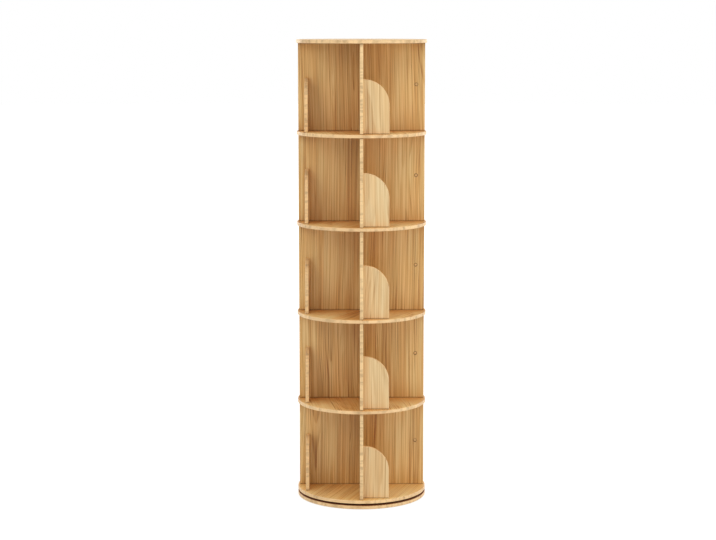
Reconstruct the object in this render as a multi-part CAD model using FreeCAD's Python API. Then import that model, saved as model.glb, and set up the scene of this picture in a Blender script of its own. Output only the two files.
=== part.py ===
import FreeCAD, Part
import math
import os

# Revolving bookcase: five round-shelved tiers of books that turn together on a ball-bearing turntable.
# Sizes are in millimetres. The origin is on the floor under the turning axis, +Z is up and the front faces -Y.

# Boards
SHELF_DIAMETER = 450.0
SHELF_THICKNESS = 12.0
BASE_DIAMETER = 450.0
BASE_THICKNESS = 12.0
TIER_COUNT = 5
TIER_CLEAR_HEIGHT = 302.0  # lets an A4 book stand upright
PANEL_THICKNESS = 12.0
PANEL_SETBACK = 6.0  # shelf rim to the end of a divider panel
BOOK_STOP_THICKNESS = 12.0
BOOK_STOP_WIDTH = 88.0
BOOK_STOP_HEIGHT = 183.0
BOOK_STOP_TOP_FLAT = 2.0  # level part of the top before the quarter round begins
BOOK_STOP_SETBACK = 24.0  # end of the divider panel to the outer face of the book stop
EDGE_ROUND = 1.5  # radius on the sanded edges of the boards

# Turntable bearing and feet
BALL_CIRCLE_DIAMETER = 150.0
BALL_DIAMETER = 4.0
BALL_COUNT = 36
BALL_COVER = 1.5  # ball to the boards above and below it
BALL_CLEARANCE = 0.3  # ball to race groove
RING_WIDTH = 22.0
RING_LIFT = 0.8  # a ring's clearance from the board that it is not screwed to
RACE_GAP = 1.8  # radial gap between the two rings
CAGE_SIDE_CLEARANCE = 0.5  # ball cage to either ring
CAGE_END_CLEARANCE = 0.9  # ball cage to the boards above and below it
CAGE_POCKET_CLEARANCE = 0.15  # ball to its pocket in the cage
RING_SCREW_COUNT = 4
RING_SCREW_START = 45.0  # degrees, between the divider arms
RING_SCREW_HEAD_DIAMETER = 8.0
RING_SCREW_FLOOR = 6.0  # wood left beyond the tip of a ring screw
ACCESS_CLEARANCE = 3.0  # around an inner-ring screw's head, for a driver through the base board
FOOT_PAD_DIAMETER = 30.0
FOOT_PAD_HEIGHT = 2.0
FOOT_PAD_COUNT = 8
FOOT_PAD_INSET = 35.0  # base rim to the middle of a pad
FOOT_PAD_CHAMFER = 0.5

# Dowels
DOWEL_DIAMETER = 6.0
DOWEL_DEPTH = 14.0  # depth in the edge of an upright board
DOWEL_CHAMFER = 0.8
DOWEL_CLEARANCE = 0.1
DOWEL_GLUE_ROOM = 1.0  # extra bore beyond the far end of a dowel
DOWEL_REACH = 70.0  # turning axis to the dowels between the tiers
CROSS_DOWEL_FROM_SHELF = 76.0
STOP_DOWEL_FROM_EDGE = 24.0  # free upright edge of a book stop to its foot dowel
BLIND_FLOOR = 4.0  # wood left behind a blind bore in a round board

# Cam bolts and cam locks
CAM_DIAMETER = 12.0
CAM_FLOOR = 2.5  # wood left behind a cam lock
CAM_CLEARANCE = 0.1
CAM_SETBACK = 24.0  # edge of the panel to the cam lock's axis
BOLT_REACH = 140.0  # turning axis to the cam bolts
BOLT_DIAMETER = 6.0
BOLT_CLEARANCE = 0.2
BOLT_NECK_DIAMETER = 3.4
BOLT_HEAD_DIAMETER = 5.0
BOLT_HEAD_HEIGHT = 2.0

# Book-stop screws
SCREW_DIAMETER = 4.0
SCREW_LENGTH = 40.0
SCREW_CLEARANCE = 0.1
SCREW_HEAD_DIAMETER = 9.0
SCREW_HEAD_HEIGHT = 2.4
SCREW_HEAD_ROUND = 1.0
SCREW_HEAD_SUNK = 0.6  # face of the panel to the top of the head
SCREW_FROM_TOP = 23.0  # top of the book stop to the screw
COUNTERBORE_CLEARANCE = 2.0  # screw head to the wall of its counterbore

# Driver recesses in screws and cam locks
RECESS_SPAN = 5.0
RECESS_WIDTH = 1.1
RECESS_DEPTH = 1.3

V = FreeCAD.Vector
UP = V(0, 0, 1)
DOWN = V(0, 0, -1)

# The four divider arms, by the angle that turns the front arm (along -Y) into each. An arm's book stop is on its +X
# side before that turn.
ARMS = {"front": 0, "right": 90, "rear": 180, "left": 270}
# The side of each arm that its cam locks sit on: the panel that runs right across has them all on its rear face.
CAM_SIDES = {"front": -1, "right": 1, "rear": -1, "left": -1}

BASE_TOP = FOOT_PAD_HEIGHT + BASE_THICKNESS
BEARING_HEIGHT = BALL_DIAMETER + 2 * BALL_COVER
BEARING_MIDDLE = BASE_TOP + BEARING_HEIGHT / 2
TIER_PITCH = TIER_CLEAR_HEIGHT + SHELF_THICKNESS
SHELF_BOTTOMS = [BASE_TOP + BEARING_HEIGHT + level * TIER_PITCH for level in range(TIER_COUNT + 1)]
TIER_FLOORS = [bottom + SHELF_THICKNESS for bottom in SHELF_BOTTOMS[:-1]]
PANEL_REACH = SHELF_DIAMETER / 2 - PANEL_SETBACK
STOP_MIDDLE = PANEL_REACH - BOOK_STOP_SETBACK - BOOK_STOP_THICKNESS / 2
BLIND_DEPTH = SHELF_THICKNESS - BLIND_FLOOR
RACE_RADIUS = BALL_CIRCLE_DIAMETER / 2
RING_HEIGHT = BEARING_HEIGHT - RING_LIFT
CAGE_HEIGHT = BEARING_HEIGHT - 2 * CAGE_END_CLEARANCE
CAGE_THICKNESS = RACE_GAP - 2 * CAGE_SIDE_CLEARANCE
COUNTERBORE_DEPTH = SCREW_HEAD_SUNK + SCREW_HEAD_HEIGHT

pieces = {}  # node name to shape
groups = {}  # node name to the list of its like solids
bores = []  # what the fasteners take out of the pieces that they join


def placed(shape, point, direction=UP):
    """Copy a shape made along +Z at the origin to a point, facing a direction."""
    copy = shape.copy()
    copy.Placement = FreeCAD.Placement(point, FreeCAD.Rotation(UP, direction))
    return copy


def turned(shape, angle):
    """Copy a shape, turned about the bookcase's axis by an angle in degrees."""
    copy = shape.copy()
    copy.rotate(V(0, 0, 0), UP, angle)
    return copy


def rod(diameter, start, end):
    """Make an upright round rod on the Z axis between two heights."""
    return Part.makeCylinder(diameter / 2, end - start, V(0, 0, start))


def rims(shape):
    """List the circular edges of a shape."""
    return [edge for edge in shape.Edges if isinstance(edge.Curve, Part.Circle)]


def cross_recess():
    """Make the cutter for a driver's cross recess, sunk into +Z from the origin."""
    blade = Part.makeBox(RECESS_SPAN, RECESS_WIDTH, RECESS_DEPTH, V(-RECESS_SPAN / 2, -RECESS_WIDTH / 2, 0))
    return blade.fuse(turned(blade, 90))


def dowel(length):
    """Make a dowel that stands on the origin, and its bore."""
    pin = rod(DOWEL_DIAMETER, 0, length)
    bore = rod(DOWEL_DIAMETER + 2 * DOWEL_CLEARANCE, 0, length + DOWEL_GLUE_ROOM)
    return pin.makeChamfer(DOWEL_CHAMFER, rims(pin)), bore


def cam_bolt(length, lower_lock, upper_lock):
    """Make a bolt that stands on the origin, and its bore. An end in a cam lock has a neck and a small head."""
    reach = CAM_DIAMETER / 2
    start = reach if lower_lock else 0
    end = length - reach if upper_lock else length
    bolt = rod(BOLT_DIAMETER, start, end)
    if lower_lock:
        bolt = bolt.fuse([rod(BOLT_NECK_DIAMETER, 0, start), rod(BOLT_HEAD_DIAMETER, 0, BOLT_HEAD_HEIGHT)])
    if upper_lock:
        head = rod(BOLT_HEAD_DIAMETER, length - BOLT_HEAD_HEIGHT, length)
        bolt = bolt.fuse([rod(BOLT_NECK_DIAMETER, end, length), head])
    return bolt.removeSplitter(), rod(BOLT_DIAMETER + 2 * BOLT_CLEARANCE, 0, length)


def cam_lock(edge_direction):
    """Make a cam lock sunk into +Z from the panel's face, open to its bolt towards the panel's edge, and its pocket."""
    depth = PANEL_THICKNESS - CAM_FLOOR
    lock = rod(CAM_DIAMETER, 0, depth)
    mouth = rod(BOLT_HEAD_DIAMETER + 2 * BOLT_CLEARANCE, 0, CAM_DIAMETER)
    lock = lock.cut([placed(mouth, V(0, 0, PANEL_THICKNESS / 2), edge_direction), cross_recess()])
    return lock, rod(CAM_DIAMETER + 2 * CAM_CLEARANCE, 0, depth)


def book_stop_screw():
    """Make a pan-head screw into +Z, its head seated in a counterbore that starts at the origin, and its bore."""
    tip = COUNTERBORE_DEPTH + SCREW_LENGTH
    head = rod(SCREW_HEAD_DIAMETER, SCREW_HEAD_SUNK, COUNTERBORE_DEPTH)
    crown = min(rims(head), key=lambda rim: rim.CenterOfMass.z)
    head = head.makeFillet(SCREW_HEAD_ROUND, [crown])
    recess = placed(cross_recess(), V(0, 0, SCREW_HEAD_SUNK))
    shank = rod(SCREW_DIAMETER, COUNTERBORE_DEPTH, tip - SCREW_DIAMETER)
    point = Part.makeCone(SCREW_DIAMETER / 2, 0, SCREW_DIAMETER, V(0, 0, tip - SCREW_DIAMETER))
    screw = head.cut(recess).fuse([shank, point]).removeSplitter()
    bore = rod(SCREW_DIAMETER + 2 * SCREW_CLEARANCE, 0, tip)
    counterbore = rod(SCREW_HEAD_DIAMETER + 2 * COUNTERBORE_CLEARANCE, 0, COUNTERBORE_DEPTH)
    return screw, bore.fuse(counterbore)


def countersunk(head, diameter, length):
    """Make a countersunk shape into +Z with its flat top at the origin."""
    cone = Part.makeCone(head / 2, diameter / 2, (head - diameter) / 2)
    return cone.fuse(rod(diameter, 0, length)).removeSplitter()


def ring_screw(board_thickness):
    """Make a countersunk screw into +Z with its head at the origin, through a ring into a board, and its bore."""
    length = RING_HEIGHT + board_thickness - RING_SCREW_FLOOR
    room = 2 * SCREW_CLEARANCE
    screw = countersunk(RING_SCREW_HEAD_DIAMETER, SCREW_DIAMETER, length).cut(cross_recess())
    return screw, countersunk(RING_SCREW_HEAD_DIAMETER + room, SCREW_DIAMETER + room, length)


def fasten(node, fastener, point, direction=UP, angles=(0,)):
    """Add a fastener to its node at a point, repeated at angles about the axis, and keep its bores."""
    solid, bore = fastener
    for angle in angles:
        groups.setdefault(node, []).append(turned(placed(solid, point, direction), angle))
        bores.append(turned(placed(bore, point, direction), angle))


def round_board(diameter, thickness, bottom):
    """Make a round board with both rims rounded."""
    board = Part.makeCylinder(diameter / 2, thickness, V(0, 0, bottom))
    return board.makeFillet(EDGE_ROUND, rims(board))


def upright_panel(near, far, floor):
    """Make a divider panel along X between two ends, rounded at all edges but those against another panel."""
    corner = V(near, -PANEL_THICKNESS / 2, floor)
    board = Part.makeBox(far - near, PANEL_THICKNESS, TIER_CLEAR_HEIGHT, corner)
    free = [edge for edge in board.Edges if edge.BoundBox.XLength > EDGE_ROUND
            or math.isclose(abs(edge.CenterOfMass.x), PANEL_REACH)]
    return board.makeFillet(EDGE_ROUND, free)


def book_stop(floor):
    """Make the front arm's book stop, one top corner in a quarter round and its faces' edges rounded but at the arm."""
    inner = PANEL_THICKNESS / 2
    outer = inner + BOOK_STOP_WIDTH
    radius = min(BOOK_STOP_WIDTH - BOOK_STOP_TOP_FLAT, BOOK_STOP_HEIGHT / 2)
    top = floor + BOOK_STOP_HEIGHT
    face = -STOP_MIDDLE - BOOK_STOP_THICKNESS / 2
    foot = V(inner, face, floor)
    toe = V(outer, face, floor)
    shoulder = V(outer, face, top - radius)
    middle = V(outer - radius, face, top - radius) + V(1, 0, 1) * (radius * math.sqrt(0.5))
    crest = V(outer - radius, face, top)
    head = V(inner, face, top)
    outline = Part.Wire([
        Part.makeLine(foot, toe),
        Part.makeLine(toe, shoulder),
        Part.Arc(shoulder, middle, crest).toShape(),
        Part.makeLine(crest, head),
        Part.makeLine(head, foot),
    ])
    board = Part.Face(outline).extrude(V(0, BOOK_STOP_THICKNESS, 0))
    free = [edge for edge in board.Edges if edge.BoundBox.YLength < EDGE_ROUND
            and edge.BoundBox.XMax > inner + EDGE_ROUND]
    return board.makeFillet(EDGE_ROUND, free)


def tube(inner, outer, bottom, height):
    """Make a round tube about the axis from its two radii."""
    return rod(2 * outer, bottom, bottom + height).cut(rod(2 * inner, bottom, bottom + height))


def drilled(shape):
    """Cut from a shape every bore that reaches it."""
    reaching = [bore for bore in bores if bore.BoundBox.intersect(shape.BoundBox)]
    return shape.cut(reaching).Solids[0] if reaching else shape


# Round boards
pieces["base_board"] = round_board(BASE_DIAMETER, BASE_THICKNESS, FOOT_PAD_HEIGHT)
shelf_names = ["bottom_shelf"] + [f"shelf_{tier}" for tier in range(2, TIER_COUNT + 1)] + ["top_board"]
for name, bottom in zip(shelf_names, SHELF_BOTTOMS):
    pieces[name] = round_board(SHELF_DIAMETER, SHELF_THICKNESS, bottom)

# Divider panels and book stops of each tier
for tier, floor in enumerate(TIER_FLOORS, start=1):
    half_panel = upright_panel(-PANEL_REACH, -PANEL_THICKNESS / 2, floor)
    pieces[f"cross_panel_tier_{tier}"] = upright_panel(-PANEL_REACH, PANEL_REACH, floor)
    pieces[f"front_panel_tier_{tier}"] = turned(half_panel, 90)
    pieces[f"rear_panel_tier_{tier}"] = turned(half_panel, 270)
    stop = book_stop(floor)
    for arm, angle in ARMS.items():
        pieces[f"book_stop_{arm}_tier_{tier}"] = turned(stop, angle)

# Turntable bearing
groove = Part.makeTorus(RACE_RADIUS, BALL_DIAMETER / 2 + BALL_CLEARANCE, V(0, 0, BEARING_MIDDLE))
outer_wall = RACE_RADIUS + RACE_GAP / 2
inner_wall = RACE_RADIUS - RACE_GAP / 2
ring_lift = BASE_TOP + RING_LIFT
pieces["bearing_outer_ring"] = tube(outer_wall, outer_wall + RING_WIDTH, BASE_TOP, RING_HEIGHT).cut(groove)
pieces["bearing_inner_ring"] = tube(inner_wall - RING_WIDTH, inner_wall, ring_lift, RING_HEIGHT).cut(groove)
ball = Part.makeSphere(BALL_DIAMETER / 2, V(RACE_RADIUS, 0, BEARING_MIDDLE))
pocket = rod(BALL_DIAMETER + 2 * CAGE_POCKET_CLEARANCE, -CAGE_THICKNESS, CAGE_THICKNESS)
pocket = placed(pocket, V(RACE_RADIUS, 0, BEARING_MIDDLE), V(1, 0, 0))
ball_angles = [360 * place / BALL_COUNT for place in range(BALL_COUNT)]
groups["bearing_balls"] = [turned(ball, angle) for angle in ball_angles]
cage = tube(RACE_RADIUS - CAGE_THICKNESS / 2, RACE_RADIUS + CAGE_THICKNESS / 2,
            BEARING_MIDDLE - CAGE_HEIGHT / 2, CAGE_HEIGHT)
pieces["bearing_ball_cage"] = cage.cut([turned(pocket, angle) for angle in ball_angles]).Solids[0]

# Ring screws, and the hole in the base board that a driver reaches the inner ones through
ring_angles = [RING_SCREW_START + 360 * screw / RING_SCREW_COUNT for screw in range(RING_SCREW_COUNT)]
outer_screw = V(outer_wall + RING_WIDTH / 2, 0, BASE_TOP + RING_HEIGHT)
inner_screw = V(inner_wall - RING_WIDTH / 2, 0, ring_lift)
fasten("bearing_outer_screws", ring_screw(BASE_THICKNESS), outer_screw, DOWN, ring_angles)
fasten("bearing_inner_screws", ring_screw(SHELF_THICKNESS), inner_screw, UP, ring_angles)
access = rod(RING_SCREW_HEAD_DIAMETER + 2 * ACCESS_CLEARANCE, FOOT_PAD_HEIGHT, BASE_TOP)
access.translate(V(inner_screw.x, 0, 0))
bores.append(turned(access, RING_SCREW_START))

# Foot pads
pad = rod(FOOT_PAD_DIAMETER, 0, FOOT_PAD_HEIGHT)
pad = pad.makeChamfer(FOOT_PAD_CHAMFER, [min(rims(pad), key=lambda rim: rim.CenterOfMass.z)])
pad.translate(V(BASE_DIAMETER / 2 - FOOT_PAD_INSET, 0, 0))
groups["foot_pads"] = [turned(pad, 360 * (foot + 0.5) / FOOT_PAD_COUNT) for foot in range(FOOT_PAD_COUNT)]

# Dowels and cam bolts: through the middle shelves, blind in the bottom shelf and the top board
angles = list(ARMS.values())
through_dowel = dowel(SHELF_THICKNESS + 2 * DOWEL_DEPTH)
through_bolt = cam_bolt(SHELF_THICKNESS + 2 * CAM_SETBACK, True, True)
for bottom in SHELF_BOTTOMS[1:-1]:
    fasten("tier_dowels", through_dowel, V(0, -DOWEL_REACH, bottom - DOWEL_DEPTH), UP, angles)
    fasten("tier_cam_bolts", through_bolt, V(0, -BOLT_REACH, bottom - CAM_SETBACK), UP, angles)
end_dowel = dowel(BLIND_DEPTH + DOWEL_DEPTH)
bolt_length = BLIND_DEPTH + CAM_SETBACK
lowest = SHELF_BOTTOMS[0] + BLIND_FLOOR
highest = SHELF_BOTTOMS[-1]
fasten("end_dowels", end_dowel, V(0, -DOWEL_REACH, lowest), UP, angles)
fasten("end_dowels", end_dowel, V(0, -DOWEL_REACH, highest - DOWEL_DEPTH), UP, angles)
fasten("end_cam_bolts", cam_bolt(bolt_length, False, True), V(0, -BOLT_REACH, lowest), UP, angles)
fasten("end_cam_bolts", cam_bolt(bolt_length, True, False), V(0, -BOLT_REACH, highest - CAM_SETBACK), UP, angles)

# Fasteners inside each tier
screw = book_stop_screw()
cross_dowel = dowel(PANEL_THICKNESS + 2 * DOWEL_DEPTH)
stop_dowel_x = PANEL_THICKNESS / 2 + BOOK_STOP_WIDTH - STOP_DOWEL_FROM_EDGE
for floor in TIER_FLOORS:
    ceiling = floor + TIER_CLEAR_HEIGHT
    for arm, angle in ARMS.items():
        side = CAM_SIDES[arm]
        face = side * PANEL_THICKNESS / 2
        for height, towards_edge in ((floor + CAM_SETBACK, DOWN), (ceiling - CAM_SETBACK, UP)):
            sunk = V(-side, 0, 0)
            own_edge = FreeCAD.Rotation(UP, sunk).inverted().multVec(towards_edge)
            fasten("cam_locks", cam_lock(own_edge), V(face, -BOLT_REACH, height), sunk, [angle])
    for height in (floor + CROSS_DOWEL_FROM_SHELF, ceiling - CROSS_DOWEL_FROM_SHELF):
        fasten("cross_dowels", cross_dowel, V(0, -PANEL_THICKNESS / 2 - DOWEL_DEPTH, height), V(0, 1, 0))
    screw_height = floor + BOOK_STOP_HEIGHT - SCREW_FROM_TOP
    fasten("book_stop_screws", screw, V(-PANEL_THICKNESS / 2, -STOP_MIDDLE, screw_height), V(1, 0, 0), angles)
    fasten("book_stop_dowels", end_dowel, V(stop_dowel_x, -STOP_MIDDLE, floor - BLIND_DEPTH), UP, angles)

os.makedirs("parts", exist_ok=True)
for name, shape in pieces.items():
    drilled(shape).exportStep(f"parts/{name}.step")
for name, solids in groups.items():
    Part.makeCompound(solids).exportStep(f"parts/{name}.step")
print(f"{len(pieces) + len(groups)} nodes, {SHELF_BOTTOMS[-1] + SHELF_THICKNESS:.0f} mm tall")
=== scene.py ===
"""Looks of the revolving bookcase: its pine boards, its fittings and turntable, and the studio around them.

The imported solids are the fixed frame. Boards, dowels, bolts and bearing parts are the solids themselves, with
a finish. The book-stop screws, cam locks and foot pads are modelled here in place of their solids.
"""

import logging
import math
import random
from collections.abc import Callable, Iterable, Iterator
from contextlib import contextmanager
from dataclasses import dataclass, replace
from enum import Enum
from functools import cache, reduce

import bmesh
import bpy
from mathutils import Color, Matrix, Vector

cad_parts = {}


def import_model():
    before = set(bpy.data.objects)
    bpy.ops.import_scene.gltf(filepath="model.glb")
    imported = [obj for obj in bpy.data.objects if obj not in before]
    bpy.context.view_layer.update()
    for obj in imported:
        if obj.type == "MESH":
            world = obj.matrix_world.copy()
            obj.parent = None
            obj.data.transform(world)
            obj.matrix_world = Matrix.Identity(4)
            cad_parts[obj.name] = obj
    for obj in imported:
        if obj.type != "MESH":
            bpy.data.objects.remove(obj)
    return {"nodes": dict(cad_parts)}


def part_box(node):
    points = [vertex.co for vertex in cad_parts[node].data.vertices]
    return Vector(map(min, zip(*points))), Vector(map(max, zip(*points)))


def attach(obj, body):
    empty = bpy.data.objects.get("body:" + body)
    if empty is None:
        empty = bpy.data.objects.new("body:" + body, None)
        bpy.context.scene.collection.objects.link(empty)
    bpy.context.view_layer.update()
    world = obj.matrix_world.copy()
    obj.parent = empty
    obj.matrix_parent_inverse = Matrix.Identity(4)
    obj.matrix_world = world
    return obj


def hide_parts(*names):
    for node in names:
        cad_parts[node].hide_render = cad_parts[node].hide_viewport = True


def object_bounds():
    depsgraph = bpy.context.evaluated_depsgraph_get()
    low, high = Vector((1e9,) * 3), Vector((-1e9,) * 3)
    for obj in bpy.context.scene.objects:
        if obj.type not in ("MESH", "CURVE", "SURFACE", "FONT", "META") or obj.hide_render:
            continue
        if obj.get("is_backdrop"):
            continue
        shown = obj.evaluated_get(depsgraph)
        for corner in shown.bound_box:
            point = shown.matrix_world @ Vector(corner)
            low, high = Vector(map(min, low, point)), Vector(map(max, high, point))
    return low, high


MM = 0.001  # metres in a millimetre
FAR_MM = 10000.0  # beyond every board
HAIR = 2e-6  # metres, a difference too small to matter
LEVEL = 0.9  # a level face looks at least this far along Z
WHITE = (1.0, 1.0, 1.0, 1.0)

Rgb = tuple[int, int, int]  # from 0 to 255, as a screen shows them
Colour = tuple[float, float, float, float]
Place = tuple[float, float, float]
Socket = bpy.types.NodeSocket
Value = Socket | float | tuple[float, ...]
Inputs = dict[str, Value] | dict[int, Value]
Part = bmesh.types.BMFace | bmesh.types.BMEdge
Test = Callable[[Part], bool]

log = logging.getLogger("bookcase")


class Lie(Enum):
    """How a board lies: the degrees about X, Y and Z that turn its grain to Z and its thickness to Y."""

    FLAT = (90.0, 0.0, 0.0)
    UPRIGHT_ACROSS = (0.0, 0.0, 0.0)
    UPRIGHT_FRONT_TO_BACK = (0.0, 0.0, 90.0)


class Side(Enum):
    """A side of a board that lies flat, by the way its facing goes along the thickness."""

    NONE = 0.0
    TOP = -1.0
    UNDER = 1.0


class Element(Enum):
    """What an edit-mode selection is made of."""

    FACE = "FACE"
    EDGE = "EDGE"


class Arm(Enum):
    """The four divider arms, by the angle in degrees that turns the front arm into each."""

    FRONT = 0
    RIGHT = 90
    REAR = 180
    LEFT = 270

    @property
    def turn(self) -> Matrix:
        """The turn about the bookcase's axis that brings the front arm to this one."""
        return Matrix.Rotation(math.radians(self.value), 4, "Z")

    @property
    def lie(self) -> Lie:
        """How the arm's book stop lies."""
        return Lie.UPRIGHT_ACROSS if self in (Arm.FRONT, Arm.REAR) else Lie.UPRIGHT_FRONT_TO_BACK


def linear(colour: Rgb) -> Colour:
    """Turn a colour as a screen shows it into the opaque linear colour that a shader takes."""
    red, green, blue = Color([value / 255 for value in colour]).from_srgb_to_scene_linear()
    return red, green, blue, 1.0


def grey(level: float) -> Colour:
    """Give a linear grey, opaque."""
    return level, level, level, 1.0


class Nodes:
    """A shader node tree, with short calls for the nodes that the finishes are made of."""

    def __init__(self, tree: bpy.types.NodeTree) -> None:
        """Keep the tree that the nodes go into."""
        self.tree = tree

    @classmethod
    def fresh(cls, owner: bpy.types.Material | bpy.types.World) -> "Nodes":
        """Start the nodes of a material or a world from nothing.

        Args:
            owner: the material or world.

        Returns:
            Its nodes.
        """
        owner.use_nodes = True
        owner.node_tree.nodes.clear()
        return cls(owner.node_tree)

    def feed(self, socket: Socket, value: Value) -> None:
        """Link an input to another node's output, or set it to a plain value.

        Args:
            socket: the input.
            value: an output socket, a number, a vector or a colour.
        """
        if isinstance(value, bpy.types.NodeSocket):
            self.tree.links.new(value, socket)
        else:
            socket.default_value = value

    def add(self, kind: str, inputs: Inputs | None = None, **settings: object) -> bpy.types.Node:
        """Add a node.

        Args:
            kind: the node's type.
            inputs: what its inputs take, by their name or number.
            settings: properties of the node to set.

        Returns:
            The new node.
        """
        node = self.tree.nodes.new(kind)
        for name, value in settings.items():
            setattr(node, name, value)
        for label, value in (inputs or {}).items():
            self.feed(node.inputs[label], value)
        return node

    def math(self, operation: str, *values: Value) -> Socket:
        """Work out a number from others, by one of the Math node's operations."""
        return self.add("ShaderNodeMath", dict(enumerate(values)), operation=operation).outputs[0]

    def total(self, *terms: tuple[Value, float]) -> Socket:
        """Add up weighted terms.

        Args:
            terms: pairs of a value and its weight.

        Returns:
            The sum.
        """
        result: Value = 0.0
        for value, weight in terms:
            result = self.math("MULTIPLY_ADD", value, weight, result)
        return result

    def greatest(self, *values: Value) -> Socket:
        """Give the greatest of some values."""
        return reduce(lambda first, second: self.math("MAXIMUM", first, second), values)

    def distance(self, first: Value, second: Value) -> Socket:
        """Give the distance of a point from an axis, by its two coordinates across it."""
        squares = [self.math("POWER", value, 2.0) for value in (first, second)]
        return self.math("SQRT", self.math("ADD", *squares))

    def ramp(self, value: Value, start: Value, end: Value, low: Value = 0.0, high: Value = 1.0) -> Socket:
        """Rise smoothly from low to high as a value goes from start to end."""
        inputs = dict(enumerate((value, start, end, low, high)))
        return self.add("ShaderNodeMapRange", inputs, interpolation_type="SMOOTHSTEP").outputs[0]

    def mix(self, share: Value, first: Value, second: Value, blend: str = "MIX") -> Socket:
        """Mix two colours.

        Args:
            share: how much of the second colour is taken.
            first: the colour at a share of 0.
            second: the colour at a share of 1.
            blend: the way the colours are combined.

        Returns:
            The mixed colour.
        """
        node = self.add("ShaderNodeMix", data_type="RGBA", blend_type=blend)
        sockets = [socket for socket in node.inputs if socket.enabled]
        for socket, value in zip(sockets, (share, first, second)):
            self.feed(socket, value)
        return next(socket for socket in node.outputs if socket.enabled)

    def split(self, vector: Socket) -> tuple[Socket, Socket, Socket]:
        """Take a vector apart into its X, Y and Z."""
        return tuple(self.add("ShaderNodeSeparateXYZ", {0: vector}).outputs)

    def join(self, x: Value, y: Value, z: Value) -> Socket:
        """Make a vector of its X, Y and Z."""
        return self.add("ShaderNodeCombineXYZ", {0: x, 1: y, 2: z}).outputs[0]

    def luck(self, first: Value, second: Value) -> tuple[Socket, Socket, Socket]:
        """Draw three numbers from 0 to 1 that are the same wherever two keys are."""
        node = self.add("ShaderNodeTexWhiteNoise", {"Vector": self.join(first, second, 0.0)})
        return tuple(self.add("ShaderNodeSeparateColor", {0: node.outputs["Color"]}).outputs)

    def vector(self, operation: str, first: Value, second: Value) -> Socket:
        """Work out a vector from two others, by one of the Vector Math node's operations."""
        return self.add("ShaderNodeVectorMath", {0: first, 1: second}, operation=operation).outputs[0]

    def swing(self, place: Socket, degrees: Value) -> Socket:
        """Turn a point about the Y axis."""
        inputs = {"Vector": place, "Angle": self.math("RADIANS", degrees)}
        return self.add("ShaderNodeVectorRotate", inputs, rotation_type="Y_AXIS").outputs[0]

    def noise(self, place: Socket, size: Place, key: Value, detail: float) -> Socket:
        """Make smooth noise from about 0 to 1 with features of some size, another noise for each key."""
        inputs = {"Vector": self.vector("DIVIDE", place, size), "W": key, "Scale": 1.0, "Detail": detail}
        return self.add("ShaderNodeTexNoise", inputs, noise_dimensions="4D").outputs[0]


class Pattern:
    """A shader node group, built once and placed in each finish that needs it.

    Its inputs and outputs are listed by the kind of their sockets.
    """

    NAME = ""
    INPUTS: dict[str, tuple[str, ...]] = {}
    OUTPUTS: dict[str, tuple[str, ...]] = {"Color": ("Color",), "Float": ("Roughness", "Height")}

    @classmethod
    def group(cls) -> bpy.types.NodeTree:
        """Build the node group, unless it is there already.

        Returns:
            The node group.
        """
        known = bpy.data.node_groups.get(cls.NAME)
        if known:
            return known
        tree = bpy.data.node_groups.new(cls.NAME, "ShaderNodeTree")
        for way, sockets in (("INPUT", cls.INPUTS), ("OUTPUT", cls.OUTPUTS)):
            for kind, labels in sockets.items():
                for label in labels:
                    tree.interface.new_socket(label, in_out=way, socket_type=f"NodeSocket{kind}")
        nodes = Nodes(tree)
        nodes.add("NodeGroupOutput", cls.draw(nodes, nodes.add("NodeGroupInput").outputs))
        return tree

    @classmethod
    def draw(cls, nodes: Nodes, given: bpy.types.NodeOutputs) -> dict[str, Socket]:
        """Draw the pattern from the group's inputs, and give the group's results by their names."""
        raise NotImplementedError


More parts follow.
